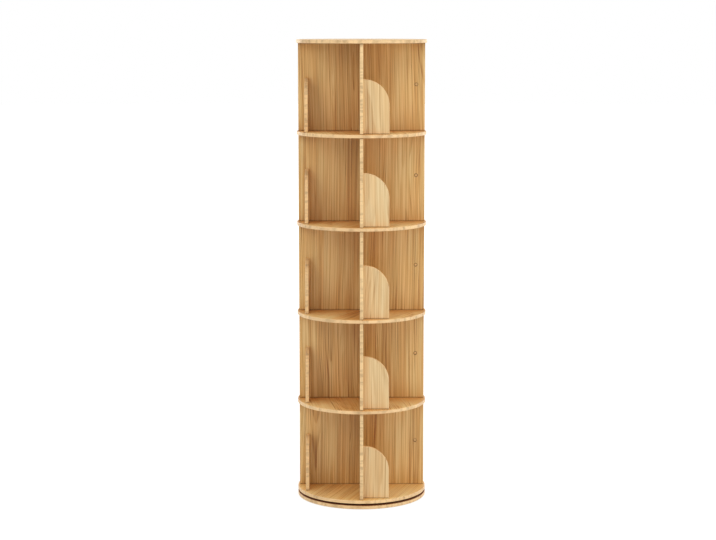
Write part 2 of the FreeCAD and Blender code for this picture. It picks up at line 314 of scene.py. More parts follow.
class GluedPine(Pattern):
    """Pine staves glued edge to edge: growth rings, long streaks, fibres, pale sanded edges, raw wood in bores,
    and painted shade in bores, corners, seams and the turntable gap.

    Spot is in millimetres with the grain along Z, the staves side by side along X and the thickness along Y.
    Lean turns the grain about Y and Shift moves it. Blush is what long stretches of the wood are tinted with.
    Edges are pale from Reach on, to either side of X = 0, and painted dark, as raw wood in shade, where they
    meet another board at the heights Foot and Head. The tint input is painted shade: it darkens the wood
    towards
    X = 0 and those heights, and towards Z = 0 along a crossing panel as far as another input says. A side input
    of 1 or -1 paints the face that looks along +Y or -Y dark, as the shade of the turntable gap.
    """

    NAME = "edge_glued_pine"
    INPUTS = {
        "Vector": ("Spot", "Shift", "Facing"),
        "Float": (
            "Lean", "Seed", "Tone", "Stave width", "Ring gap", "Reach", "Foot", "Head", "Crossed",
            "Stained side"),
        "Color": ("Early wood", "Honey", "Late wood", "Blush", "Edge", "Bore", "Painted shade tint", "Stain"),
    }

    # What varies in the wood: its size across, through and along the grain, in millimetres
    WANDER_SIZE = (160.0, 160.0, 460.0)
    WAVER_SIZE = (26.0, 26.0, 380.0)
    STREAK_SIZE = (3.1, 3.1, 360.0)
    BAND_SIZE = (12.0, 12.0, 480.0)
    FIBRE_SIZE = (0.7, 0.7, 44.0)
    CLOUD_SIZE = (60.0, 60.0, 240.0)
    BLUSH_SIZE = (30.0, 30.0, 240.0)
    TICK_SIZE = (30.0, 30.0, 9.0)
    PATCH_SIZE = (45.0, 45.0, 45.0)

    # Other lengths in millimetres, pairs from where a change starts to where it ends
    HEART_DEPTH = (10.0, 70.0)  # least and greatest, from the board to the heart of the log
    HEART_WANDER = 34.0
    RING_WAVER = 6.0
    GLUE_LINE = (0.0, 0.4)
    # How far the painted shade in the corners reaches
    FOOT_CORNER = (0.0, 90.0)
    HEAD_CORNER = (0.0, 40.0)
    CROSS_CORNER = (10.0, 150.0)
    # painted shade at the boards above and below
    CONTACT_SHADE = (1.5, 4.5)
    SANDED_FROM_REACH = (-4.0, -2.0)
    SANDED_FROM_BOARD = (1.0, 2.0)

    # Shares and steps
    STAVE_STEP = 7.31  # keeps the noise of neighbouring staves apart
    HEART_SPREAD = 2.6  # stave widths that the heart lies within
    PALE_TONE = 0.48  # sum of the tones that gives early wood
    GLUE_SHARE = 0.35
    CONTACT_SHADE_SHARE = 0.55
    SANDED_SHARE = 0.82
    BORED_AND_SHADED_SHARE = 0.9
    WOOD_THROUGH_GAP_SHADE = 0.12  # how far the wood shows through the dark painted on as the gap's shade
    BARE_ROUGHNESS = 0.4

    @classmethod
    def draw(cls, nodes: Nodes, given: bpy.types.NodeOutputs) -> dict[str, Socket]:
        """Draw the pattern.

        Args:
            nodes: the group's nodes.
            given: the group's inputs.

        Returns:
            The group's results by their names.
        """
        spot, seed, width = given["Spot"], given["Seed"], given["Stave width"]
        place = nodes.vector("ADD", nodes.swing(spot, given["Lean"]), given["Shift"])
        x, y, _ = nodes.split(place)

        # Staves, each cut from its own log
        stave = nodes.math("FLOOR", nodes.math("DIVIDE", x, width))
        middle = nodes.math("MULTIPLY", nodes.math("ADD", stave, 0.5), width)
        across = nodes.math("SUBTRACT", x, middle)
        tone_luck, heart_luck, depth_luck = nodes.luck(stave, seed)
        key = nodes.math("MULTIPLY_ADD", stave, cls.STAVE_STEP, seed)

        # Growth rings about the heart of the log, which wanders along the stave
        wander = nodes.math("SUBTRACT", nodes.noise(place, cls.WANDER_SIZE, key, 1.0), 0.5)
        waver = nodes.math("SUBTRACT", nodes.noise(place, cls.WAVER_SIZE, key, 2.0), 0.5)
        heart_spread = nodes.math("MULTIPLY", width, cls.HEART_SPREAD)
        heart = nodes.math("MULTIPLY", nodes.math("SUBTRACT", heart_luck, 0.5), heart_spread)
        depth = nodes.ramp(depth_luck, 0.0, 1.0, *cls.HEART_DEPTH)
        depth = nodes.math("MULTIPLY_ADD", wander, cls.HEART_WANDER, depth)
        radius = nodes.distance(nodes.math("SUBTRACT", across, heart), nodes.math("ADD", y, depth))
        radius = nodes.math("MULTIPLY_ADD", waver, cls.RING_WAVER, radius)
        turn = nodes.math("DIVIDE", radius, given["Ring gap"])
        year = nodes.math("FRACT", turn)
        late = nodes.math("MULTIPLY", nodes.ramp(year, 0.25, 0.86), nodes.ramp(year, 0.9, 1.0, 1.0, 0.0))
        strength, _, _ = nodes.luck(nodes.math("FLOOR", turn), key)
        late = nodes.math("MULTIPLY", late, nodes.ramp(strength, 0.0, 1.0, 0.25, 1.0))

        # Streaks and fibres along the grain
        streak = nodes.ramp(nodes.noise(place, cls.STREAK_SIZE, key, 1.5), 0.36, 0.64)
        band = nodes.ramp(nodes.noise(place, cls.BAND_SIZE, key, 1.0), 0.32, 0.68)
        fibre = nodes.ramp(nodes.noise(place, cls.FIBRE_SIZE, key, 3.0), 0.3, 0.7)
        cloud = nodes.noise(place, cls.CLOUD_SIZE, seed, 1.0)

        # Colour from pale early wood over honey to late wood, each stave with its own tone
        tone = nodes.total(
            (late, 0.36), (streak, 0.64), (band, 0.2), (fibre, 0.12), (cloud, 0.4), (tone_luck, 0.2),
            (given["Tone"], 1.0))
        tone = nodes.math("SUBTRACT", tone, cls.PALE_TONE)
        colour = nodes.mix(nodes.ramp(tone, 0.0, 0.5), given["Early wood"], given["Honey"])
        colour = nodes.mix(nodes.ramp(tone, 0.5, 1.05), colour, given["Late wood"])
        blush = nodes.ramp(nodes.noise(place, cls.BLUSH_SIZE, key, 1.0), 0.32, 0.68)
        colour = nodes.mix(blush, colour, given["Blush"], "MULTIPLY")

        # Hairline glue joints
        half_width = nodes.math("MULTIPLY", width, 0.5)
        from_joint = nodes.math("SUBTRACT", half_width, nodes.math("ABSOLUTE", across))
        joint = nodes.ramp(from_joint, *cls.GLUE_LINE, 1.0, 0.0)
        colour = nodes.mix(nodes.math("MULTIPLY", joint, cls.GLUE_SHARE), colour, given["Late wood"])

        # Painted shade in the corners: the wood is darkened towards the axis, the boards above and below, and
        # along a crossing panel
        sideways, _, along = nodes.split(spot)
        from_axis = nodes.math("ABSOLUTE", sideways)
        above = nodes.math("SUBTRACT", along, given["Foot"])
        below = nodes.math("SUBTRACT", given["Head"], along)
        corner = nodes.greatest(
            nodes.ramp(above, *cls.FOOT_CORNER, 0.4, 0.0),
            nodes.ramp(below, *cls.HEAD_CORNER, 0.6, 0.0),
            nodes.ramp(from_axis, *cls.CROSS_CORNER, 0.75, 0.0),
            nodes.ramp(nodes.math("ABSOLUTE", along), *cls.CROSS_CORNER, given["Crossed"], 0.0))
        colour = nodes.mix(corner, colour, given["Painted shade tint"], "MULTIPLY")

        # Painted shade: dark contact lines where the board meets the boards above and below
        from_board = nodes.math("MINIMUM", above, below)
        contact_shade = nodes.ramp(from_board, *cls.CONTACT_SHADE, cls.CONTACT_SHADE_SHARE, 0.0)
        colour = nodes.mix(contact_shade, colour, given["Bore"])

        # Edges, where the facing turns away from the thickness: sanded pale with ticks of end grain, or dark
        # in bores and at other boards, as raw wood with painted shade on it
        _, flatness, _ = nodes.split(given["Facing"])
        edge = nodes.ramp(nodes.math("ABSOLUTE", flatness), 0.3, 0.9, 1.0, 0.0)
        outer = nodes.ramp(nodes.math("SUBTRACT", from_axis, given["Reach"]), *cls.SANDED_FROM_REACH)
        free = nodes.math("MULTIPLY", outer, nodes.ramp(from_board, *cls.SANDED_FROM_BOARD))
        sanded = nodes.math("MULTIPLY", edge, free)
        bored_and_shaded = nodes.math("SUBTRACT", edge, sanded)
        tick = nodes.ramp(nodes.noise(place, cls.TICK_SIZE, seed, 1.0), 0.42, 0.7)
        patch = nodes.ramp(nodes.noise(place, cls.PATCH_SIZE, seed, 1.0), 0.34, 0.66)
        edge_colour = nodes.mix(nodes.total((tick, 0.33), (patch, 0.18)), given["Edge"], given["Bore"])
        colour = nodes.mix(nodes.math("MULTIPLY", sanded, cls.SANDED_SHARE), colour, edge_colour)
        colour = nodes.mix(nodes.math("MULTIPLY", bored_and_shaded, cls.BORED_AND_SHADED_SHARE), colour, given["Bore"])

        # Painted shade: the side that looks into the turntable gap is painted dark brown, as the gap's shade
        gap_shade_side = nodes.ramp(nodes.math("MULTIPLY", flatness, given["Stained side"]), 0.5, 0.9)
        colour = nodes.mix(gap_shade_side, colour, nodes.mix(cls.WOOD_THROUGH_GAP_SHADE, given["Stain"], colour))

        roughness = nodes.total((late, 0.1), (fibre, 0.08), (edge, 0.1), (gap_shade_side, 0.4))
        roughness = nodes.math("ADD", roughness, cls.BARE_ROUGHNESS)
        height = nodes.total((fibre, 0.6), (late, 0.3), (joint, -0.8))
        return {"Color": colour, "Roughness": roughness, "Height": height}


class BareMetal(Pattern):
    """Plated or turned metal: a cloudy bloom, and fine rubbed lines about the bookcase's axis."""

    NAME = "bare_metal"
    INPUTS = {"Vector": ("Spot",), "Float": ("Roughness",), "Color": ("Metal", "Bloom")}
    LINE_SIZE = (0.35, 0.6, 1.0)  # millimetres from the axis and along it
    CLOUD_SIZE = (2.6, 2.6, 2.6)
    BLOOM_SHARE = 0.6

    @classmethod
    def draw(cls, nodes: Nodes, given: bpy.types.NodeOutputs) -> dict[str, Socket]:
        """Draw the pattern.

        Args:
            nodes: the group's nodes.
            given: the group's inputs.

        Returns:
            The group's results by their names.
        """
        x, y, z = nodes.split(given["Spot"])
        turned = nodes.noise(nodes.join(nodes.distance(x, y), z, 0.0), cls.LINE_SIZE, 3.0, 2.0)
        bloom = nodes.ramp(nodes.noise(given["Spot"], cls.CLOUD_SIZE, 1.0, 3.0), 0.42, 0.72)
        colour = nodes.mix(nodes.math("MULTIPLY", bloom, cls.BLOOM_SHARE), given["Metal"], given["Bloom"])
        roughness = nodes.total((given["Roughness"], 1.0), (bloom, 0.16), (turned, 0.1))
        return {"Color": colour, "Roughness": roughness, "Height": turned}


class Moulded(Pattern):
    """Moulded rubber or nylon: a fine cast grain, soft cloudiness and a little dust in the low spots."""

    NAME = "moulded_skin"
    INPUTS = {"Vector": ("Spot",), "Float": ("Roughness",), "Color": ("Body", "Dust")}
    GRAIN_SIZE = (0.5, 0.5, 0.5)
    CLOUD_SIZE = (7.0, 7.0, 7.0)
    DUST_SHARE = 0.5

    @classmethod
    def draw(cls, nodes: Nodes, given: bpy.types.NodeOutputs) -> dict[str, Socket]:
        """Draw the pattern.

        Args:
            nodes: the group's nodes.
            given: the group's inputs.

        Returns:
            The group's results by their names.
        """
        grain = nodes.noise(given["Spot"], cls.GRAIN_SIZE, 2.0, 2.0)
        cloud = nodes.noise(given["Spot"], cls.CLOUD_SIZE, 5.0, 3.0)
        dust = nodes.math("MULTIPLY", nodes.ramp(cloud, 0.45, 0.75), nodes.ramp(grain, 0.6, 0.35))
        colour = nodes.mix(nodes.math("MULTIPLY", dust, cls.DUST_SHARE), given["Body"], given["Dust"])
        roughness = nodes.total((given["Roughness"], 1.0), (dust, 0.15), (grain, 0.08))
        return {"Color": colour, "Roughness": roughness, "Height": grain}


@dataclass(frozen=True)
class Finish:
    """A surface finish, whose materials wear one pattern."""

    name: str
    bump_mm: float = 0.05

    def wear(self, label: str, lie: Lie, pattern: type[Pattern], values: dict[str, Value],
             plain: dict[str, float]) -> bpy.types.Material:
        """Make a material that wears a pattern, whose colours are the finish's fields of the same names.

        Args:
            label: the material's name.
            lie: how the piece lies.
            pattern: the pattern.
            values: the pattern's other inputs, apart from the point in millimetres and the facing there.
            plain: plain values of the surface, by their socket's name.

        Returns:
            The material.
        """
        material = bpy.data.materials.new(label)
        nodes = Nodes.fresh(material)
        coordinates = nodes.add("ShaderNodeTexCoord").outputs
        turn = [math.radians(angle) for angle in lie.value]
        given = dict(values)
        for name in pattern.INPUTS["Color"]:
            given[name] = linear(getattr(self, name.lower().replace(" ", "_")))
        for name, source, kind, scale in (
                ("Spot", "Object", "POINT", 1 / MM), ("Facing", "Normal", "VECTOR", 1.0)):
            if name in pattern.INPUTS["Vector"]:
                inputs = {"Vector": coordinates[source], "Rotation": turn, "Scale": (scale, scale, scale)}
                given[name] = nodes.add("ShaderNodeMapping", inputs, vector_type=kind).outputs[0]
        group = nodes.add("ShaderNodeGroup", given, node_tree=pattern.group()).outputs
        bump = nodes.add("ShaderNodeBump", {"Distance": self.bump_mm * MM, "Height": group["Height"]})
        shader = nodes.add("ShaderNodeBsdfPrincipled", {
            "Base Color": group["Color"],
            "Roughness": group["Roughness"],
            "Normal": bump.outputs[0],
            **plain,
        })
        nodes.add("ShaderNodeOutputMaterial", {"Surface": shader.outputs[0]})
        return material


@dataclass(frozen=True)
class WoodFinish(Finish):
    """Wood under a satin varnish, another cut of it on each board."""

    early_wood: Rgb = (237, 205, 143)
    honey: Rgb = (215, 174, 105)
    late_wood: Rgb = (165, 111, 51)
    blush: Rgb = (255, 244, 231)
    edge: Rgb = (252, 217, 161)
    # raw wood of bores and end grain, also painted on as shade in bores, at other boards and at seams
    bore: Rgb = (112, 70, 36)
    # painted shade: the tint that darkens the corners
    painted_shade_tint: Rgb = (255, 255, 255)
    # painted shade: the dark colour of the turntable gap's shade, and the side it is painted on
    stain: Rgb = (140, 66, 10)
    gap_shade_side: Side = Side.NONE
    stave_width_mm: float = 52.0
    ring_gap_mm: float = 3.6
    tone_spread: float = 0.04
    lean_spread: float = 1.5  # degrees
    shift_mm: float = 900.0
    seed_span: float = 100.0
    varnish: float = 0.12
    varnish_roughness: float = 0.3
    pale_ends_only: bool = False  # the edges near the axis meet other boards
    stands: bool = False  # the lower end meets a shelf
    carries: bool = False  # the upper end meets a shelf
    crossed: float = 0.0  # how dark the painted shade is along a panel that stands across the grain

    def material(self, board: str, lie: Lie, chance: random.Random) -> bpy.types.Material:
        """Make the material of one board.

        Args:
            board: the board's name.
            lie: how the board lies.
            chance: the draws that make each board's cut differ.

        Returns:
            The material.
        """
        low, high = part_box(board)
        reach = max(abs(value) for corner in (low, high) for value in corner.xy)
        sideways, endways = (chance.uniform(-self.shift_mm, self.shift_mm) for _ in range(2))
        return self.wear(f"{self.name}_{board}", lie, GluedPine, {
            "Lean": chance.uniform(-self.lean_spread, self.lean_spread),
            "Shift": (sideways, 0.0, endways),
            "Seed": chance.uniform(0.0, self.seed_span),
            "Tone": chance.uniform(-self.tone_spread, self.tone_spread),
            "Stave width": self.stave_width_mm,
            "Ring gap": self.ring_gap_mm,
            "Reach": reach / MM if self.pale_ends_only else 0.0,
            "Foot": low.z / MM if self.stands else -FAR_MM,
            "Head": high.z / MM if self.carries else FAR_MM,
            "Crossed": self.crossed,
            "Stained side": self.gap_shade_side.value,
        }, {"Coat Weight": self.varnish, "Coat Roughness": self.varnish_roughness})


@dataclass(frozen=True)
class MetalFinish(Finish):
    """Bare or plated metal."""

    metal: Rgb = (190, 190, 190)
    bloom: Rgb = (160, 160, 160)
    roughness: float = 0.3

    @cache
    def material(self) -> bpy.types.Material:
        """Give the material, and make it the first time."""
        values = {"Roughness": self.roughness}
        return self.wear(self.name, Lie.UPRIGHT_ACROSS, BareMetal, values, {"Metallic": 1.0})


@dataclass(frozen=True)
class MouldedFinish(Finish):
    """Moulded rubber or nylon."""

    body: Rgb = (60, 60, 60)
    dust: Rgb = (110, 108, 104)
    roughness: float = 0.55

    @cache
    def material(self) -> bpy.types.Material:
        """Give the material, and make it the first time."""
        return self.wear(self.name, Lie.UPRIGHT_ACROSS, Moulded, {"Roughness": self.roughness}, {})


PINE_ROUND_BOARD = WoodFinish(
    "pine_round_board",
    early_wood=(245, 218, 159),
    honey=(238, 201, 136),
    late_wood=(190, 137, 76),
    edge=(255, 217, 162),
    # painted shade: the tint and depth of the shade painted in the corners and along the cross panel
    painted_shade_tint=(225, 190, 140),
    stave_width_mm=64.0,
    lean_spread=28.0,
    crossed=0.85,
)
# Painted shade: the base board's top, in the turntable gap, is painted dark as the gap's shade
PINE_BASE_BOARD = replace(PINE_ROUND_BOARD, gap_shade_side=Side.TOP)
# Painted shade: the bottom shelf's underside is painted dark as the gap's shade, and its corners get lighter
# painted shade
PINE_BOTTOM_SHELF = replace(PINE_ROUND_BOARD, painted_shade_tint=(250, 236, 208), gap_shade_side=Side.UNDER)
# Painted shade: the top board, which the lamps light most, takes a darker copy of the round boards' colours and
# no corner shade
PINE_TOP_BOARD_DARKENED = replace(
    PINE_ROUND_BOARD,
    early_wood=(234, 206, 150),
    honey=(222, 186, 127),
    painted_shade_tint=(255, 255, 255),
)
PINE_PANEL = WoodFinish(
    "pine_panel",
    # painted shade: the tint painted into the panels' corners
    painted_shade_tint=(231, 219, 199),
    pale_ends_only=True,
    stands=True,
    carries=True,
)
PINE_BOOK_STOP = WoodFinish(
    "pine_book_stop",
    early_wood=(234, 208, 158),
    honey=(221, 190, 138),
    late_wood=(189, 148, 95),
    edge=(253, 211, 149),
    stave_width_mm=47.0,
    stands=True,
)
BEECH_DOWEL = WoodFinish(
    "beech_dowel",
    early_wood=(222, 190, 156),
    honey=(208, 168, 130),
    late_wood=(172, 122, 86),
    stave_width_mm=400.0,
    ring_gap_mm=1.6,
    varnish=0.0,
)
YELLOW_ZINC = MetalFinish("zinc_screw", metal=(216, 176, 122), bloom=(184, 144, 96), roughness=0.42)
# Painted shade: a darker copy of the yellow zinc, for the screw flanges that sit down in their recesses
ZINC_FLANGE_SHADE = MetalFinish("zinc_flange_shade", metal=(164, 126, 80), bloom=(132, 99, 62), roughness=0.5)
CAST_ZINC = MetalFinish(
    "zinc_cam", metal=(182, 183, 184), bloom=(140, 140, 138), roughness=0.42, bump_mm=0.08)
ALUMINIUM = MetalFinish("bearing_aluminium", metal=(206, 207, 208), bloom=(168, 168, 168), roughness=0.3)
STEEL = MetalFinish(
    "bearing_steel", metal=(200, 200, 202), bloom=(150, 150, 152), roughness=0.12, bump_mm=0.005)
CAGE_NYLON = MouldedFinish("cage_nylon", body=(40, 40, 41), dust=(98, 94, 88))
PAD_RUBBER = MouldedFinish("pad_rubber", body=(46, 44, 42), dust=(96, 90, 82), roughness=0.7)


def deselect() -> None:
    """Leave nothing selected, because an operator acts on all that is."""
    bpy.ops.object.select_all(action="DESELECT")


class Workpiece:
    """A mesh that is shaped with Blender's operators, as by hand."""

    SMOOTH_BELOW = math.radians(35)  # faces at less than this angle are shaded as one

    def __init__(self, name: str) -> None:
        """Take the object that an operator has just added, and put its place and turn into its mesh.

        Args:
            name: the object's new name.
        """
        self.body = bpy.context.object
        self.body.name = name
        bpy.ops.object.transform_apply(location=True, rotation=True, scale=True)

    @classmethod
    def rod(cls, name: str, diameter: float, start: Vector, end: Vector, sides: int = 48) -> "Workpiece":
        """Add a rod between two points.

        Args:
            name: the object's name.
            diameter: the rod's diameter.
            start: the middle of its first end.
            end: the middle of its other end.
            sides: how many faces go round it.

        Returns:
            The rod.
        """
        along = end - start
        turn = along.to_track_quat("Z", "Y").to_euler()
        deselect()
        bpy.ops.mesh.primitive_cylinder_add(
            vertices=sides, radius=diameter / 2, depth=along.length,
            location=(start + end) / 2, rotation=turn)
        return cls(name)

    @classmethod
    def block(cls, name: str, size: Vector, middle: Vector) -> "Workpiece":
        """Add a block.

        Args:
            name: the object's name.
            size: its lengths along X, Y and Z.
            middle: its centre.

        Returns:
            The block.
        """
        deselect()
        bpy.ops.mesh.primitive_cube_add(size=1.0, location=middle, scale=size)
        return cls(name)

    @contextmanager
    def editing(self, element: Element, test: Test) -> Iterator[None]:
        """Go into edit mode with only the faces or edges that pass a test selected, and back at the end.

        Args:
            element: what is selected.
            test: says whether a face or edge is taken.

        Returns:
            Nothing, while edit mode lasts.
        """
        deselect()
        self.body.select_set(True)
        bpy.context.view_layer.objects.active = self.body
        bpy.ops.object.mode_set(mode="EDIT")
        bpy.ops.mesh.select_mode(type=element.value)
        bpy.ops.mesh.select_all(action="DESELECT")
        shape = bmesh.from_edit_mesh(self.body.data)
        for part in list(shape.faces if element is Element.FACE else shape.edges):
            if test(part):
                part.select_set(True)
        bmesh.update_edit_mesh(self.body.data)
        yield
        bpy.ops.object.mode_set(mode="OBJECT")

    def bevel(self, test: Test, width: float, segments: int) -> None:
        """Round the edges that pass a test, as far as a width to either side, with some segments."""
        with self.editing(Element.EDGE, test):
            bpy.ops.mesh.bevel(offset=width, segments=segments, affect="EDGES")

    def extrude(self, test: Test, step: Vector) -> None:
        """Draw out the faces that pass a test by a step."""
        with self.editing(Element.FACE, test):
            bpy.ops.mesh.extrude_region_move(TRANSFORM_OT_translate={"value": step})

    def taper(self, test: Test, share: float) -> None:
        """Shrink the faces that pass a test towards the Z axis, to a share of their size."""
        with self.editing(Element.FACE, test):
            bpy.ops.transform.resize(value=(share, share, 1.0), center_override=(0, 0, 0))

    def inset(self, test: Test, width: float, rise: float = 0.0) -> None:
        """Inset the faces that pass a test by a width, and move the inner face outwards by a rise."""
        with self.editing(Element.FACE, test):
            bpy.ops.mesh.inset(thickness=width, depth=rise)

    def groove(self, face: float, floor: float, border: float, width: float) -> None:
        """Sink a round groove with sloping walls into a level face about the Z axis.

        Args:
            face: the height of the face.
            floor: the height of the groove's floor.
            border: how far the groove is from the rim of the face.
            width: how wide its floor is.
        """
        depth = abs(face - floor)
        self.inset(on_axis(face), border)
        self.inset(on_axis(face), depth / 2, rise=-depth)
        self.inset(on_axis(floor), width)
        self.inset(on_axis(floor), depth / 2, rise=depth)

    def dress(self, material: bpy.types.Material, test: Test = lambda face: True) -> None:
        """Give the faces that pass a test a material.

        Args:
            material: the material.
            test: says whether a face is taken; without one, all are.
        """
        self.body.data.materials.append(material)
        self.body.active_material_index = len(self.body.data.materials) - 1
        with self.editing(Element.FACE, test):
            bpy.ops.object.material_slot_assign()

    def cut(self, tool: "Workpiece") -> None:
        """Cut another workpiece out of this one and remove it.

        Args:
            tool: what is cut out.
        """
        deselect()
        bpy.context.view_layer.objects.active = self.body
        cutting = self.body.modifiers.new("cut", "BOOLEAN")
        cutting.operation = "DIFFERENCE"
        cutting.solver = "EXACT"
        cutting.object = tool.body
        bpy.ops.object.modifier_apply(modifier=cutting.name)
        bpy.data.objects.remove(tool.body)

    def repeat(self, name: str, places: Iterable[Matrix]) -> bpy.types.Object:
        """Copy the finished workpiece to its places, as one piece of separate shells.

        Args:
            name: the piece's name.
            places: the turn and place of each copy.

        Returns:
            The piece, at the origin.
        """
        deselect()
        copies = []
        for place in places:
            mesh = self.body.data.copy()
            mesh.transform(place)
            copy = bpy.data.objects.new(name, mesh)
            bpy.context.collection.objects.link(copy)
            copy.select_set(True)
            copies.append(copy)
        bpy.context.view_layer.objects.active = copies[0]
        bpy.ops.object.join()
        bpy.ops.object.shade_smooth_by_angle(angle=self.SMOOTH_BELOW)
        bpy.data.objects.remove(self.body)
        copies[0].name = name
        return copies[0]


def on_axis(height: float) -> Test:
    """Give a test for the level face that closes a round piece at one height.

    Args:
        height: the height of the face.

    Returns:
        The test.
    """
    def closes(face: Part) -> bool:
        """Say whether a face is level, at the height and centred on the Z axis."""
        centre = face.calc_center_median()
        return abs(centre.z - height) < HAIR and centre.xy.length < HAIR and abs(face.normal.z) > LEVEL
    return closes


def rim_at(height: float, diameter: float) -> Test:
    """Give a test for the edges of a round rim about the Z axis.

    Args:
        height: the height of the rim.
        diameter: its diameter.

    Returns:
        The test.
    """
    def on_rim(edge: Part) -> bool:
        """Say whether both ends of an edge are on the rim."""
        return all(abs(vert.co.z - height) < HAIR and abs(vert.co.xy.length - diameter / 2) < HAIR
                   for vert in edge.verts)
    return on_rim


@dataclass(frozen=True)
class CrossRecess:
    """The recess for a cross-point driver, which narrows downwards."""

    span: float
    width: float
    depth: float
    floor_share: float = 0.62  # how wide the recess is at its floor
    clearance: float = 0.2 * MM  # how far its cutter stands out of the face

    def cutter(self, top: float) -> Workpiece:
        """Make what is cut out.

        Args:
            top: the height of the face that the recess is cut into.

        Returns:
            The cutter.
        """
        size = Vector((self.width, self.width, self.depth + self.clearance))
        middle = Vector((0, 0, top + (self.clearance - self.depth) / 2))
        cutter = Workpiece.block("recess_cutter", size, middle)
        for way in (Vector((1, 0, 0)), Vector((-1, 0, 0)), Vector((0, 1, 0)), Vector((0, -1, 0))):
            side = middle + way * self.width / 2
            cutter.extrude(lambda face, side=side: (face.calc_center_median() - side).length < HAIR,
                           way * (self.span - self.width) / 2)
        cutter.taper(lambda face: face.normal.z < -LEVEL, self.floor_share)
        return cutter


@dataclass(frozen=True)
class Tier:
    """One tier of the bookcase, measured on its packed boards."""

    floor: float
    ceiling: float
    stop_top: float

    @classmethod
    def all_of(cls, nodes: dict[str, bpy.types.Object]) -> list["Tier"]:
        """Measure every tier, from the lowest up.

        Args:
            nodes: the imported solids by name.

        Returns:
            The tiers.
        """
        count = sum(name.startswith("cross_panel_tier_") for name in nodes)
        tiers = []
        for number in range(1, count + 1):
            low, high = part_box(f"cross_panel_tier_{number}")
            _, stop_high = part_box(f"book_stop_front_tier_{number}")
            tiers.append(cls(low.z, high.z, stop_high.z))
        return tiers


def seat(arm: Arm, point: Vector, outwards: Vector, upwards: Vector) -> Matrix:
    """Give the placement on an arm of what sits at a point of the front arm, Z outwards and Y upwards."""
    axes = Matrix((upwards.cross(outwards), upwards, outwards)).transposed().to_4x4()
    return arm.turn @ Matrix.Translation(point) @ axes


class Hardware:
    """Like fittings that are modelled once and copied to all their places, instead of one node of solids."""

    PIECE = ""
    NODE = ""
    BODY = "carousel"
    SLOT = ""

    def model(self) -> Workpiece:
        """Model one fitting along Z, with its finish."""
        raise NotImplementedError

    def places(self, tiers: list[Tier]) -> Iterator[Matrix]:
        """Give the placement of each fitting."""
        raise NotImplementedError

    def build(self, tiers: list[Tier]) -> bpy.types.Object:
        """Model the fitting, copy it to its places and put it on its body.

        Args:
            tiers: the bookcase's tiers.

        Returns:
            The piece.
        """
        piece = self.model().repeat(self.PIECE, self.places(tiers))
        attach(piece, self.BODY)
        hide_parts(self.NODE)
        return piece


@dataclass
class BookStopScrews(Hardware):
    """The screws that hold the book stops: pan heads with a broad flange, sunk into the divider arms."""

    PIECE = "pan_head_screws"
    NODE = "book_stop_screws"
    SLOT = YELLOW_ZINC.name

    head_diameter: float = 9.0 * MM
    head_round: float = 1.1 * MM
    sunk: float = 0.6 * MM  # face of the panel to the top of the head
    seat_depth: float = 2.98 * MM  # face of the panel to the underside of the flange
    flange_diameter: float = 12.6 * MM
    flange_thickness: float = 0.7 * MM
    shank_diameter: float = 4.0 * MM
    shank_length: float = 36.0 * MM
    tip_length: float = 4.0 * MM
    tip_share: float = 0.1  # of the shank's diameter
    recess: CrossRecess = CrossRecess(span=5.2 * MM, width=1.3 * MM, depth=1.4 * MM)
    from_stop_top: float = 23.0 * MM
    from_axis: float = 189.0 * MM
    panel_face: float = 6.0 * MM
    seed: int = 11

    def model(self) -> Workpiece:
        """Model one screw, with the panel's face at Z = 0 and the head facing +Z.

        Returns:
            The screw.
        """
        under, over, top = -self.seat_depth, self.flange_thickness - self.seat_depth, -self.sunk

        def at_top(edge: Part) -> bool:
            """Say whether both ends of an edge are at the top of the head."""
            return all(abs(vert.co.z - top) < HAIR for vert in edge.verts)

        def outside_head(face: Part) -> bool:
            """Say whether a face is farther out than the head."""
            return face.calc_center_median().xy.length > self.head_diameter / 2 + HAIR

        screw = Workpiece.rod("screw", self.flange_diameter, Vector((0, 0, under)), Vector((0, 0, over)))
        screw.inset(on_axis(over), (self.flange_diameter - self.head_diameter) / 2)
        screw.extrude(on_axis(over), Vector((0, 0, top - over)))
        screw.inset(on_axis(under), (self.flange_diameter - self.shank_diameter) / 2)
        screw.extrude(on_axis(under), Vector((0, 0, -self.shank_length)))
        tip = under - self.shank_length
        screw.extrude(on_axis(tip), Vector((0, 0, -self.tip_length)))
        screw.taper(on_axis(tip - self.tip_length), self.tip_share)
        screw.bevel(at_top, self.head_round, segments=4)
        screw.bevel(rim_at(over, self.flange_diameter), self.flange_thickness / 4, segments=2)
        screw.cut(self.recess.cutter(top))
        screw.dress(YELLOW_ZINC.material())
        # Painted shade: the flange, down in its recess, wears a darker copy of the head's zinc
        screw.dress(ZINC_FLANGE_SHADE.material(), outside_head)
        return screw

    def places(self, tiers: list[Tier]) -> Iterator[Matrix]:
        """Give the placement of each screw, its recess turned as the driver left it.

        Args:
            tiers: the bookcase's tiers.

        Returns:
            The placements of the screws, one by one.
        """
        chance = random.Random(self.seed)
        for tier in tiers:
            point = Vector((-self.panel_face, -self.from_axis, tier.stop_top - self.from_stop_top))
            for arm in Arm:
                left = Matrix.Rotation(chance.uniform(0, math.pi / 2), 4, "Z")
                yield seat(arm, point, Vector((-1, 0, 0)), Vector((0, 0, 1))) @ left


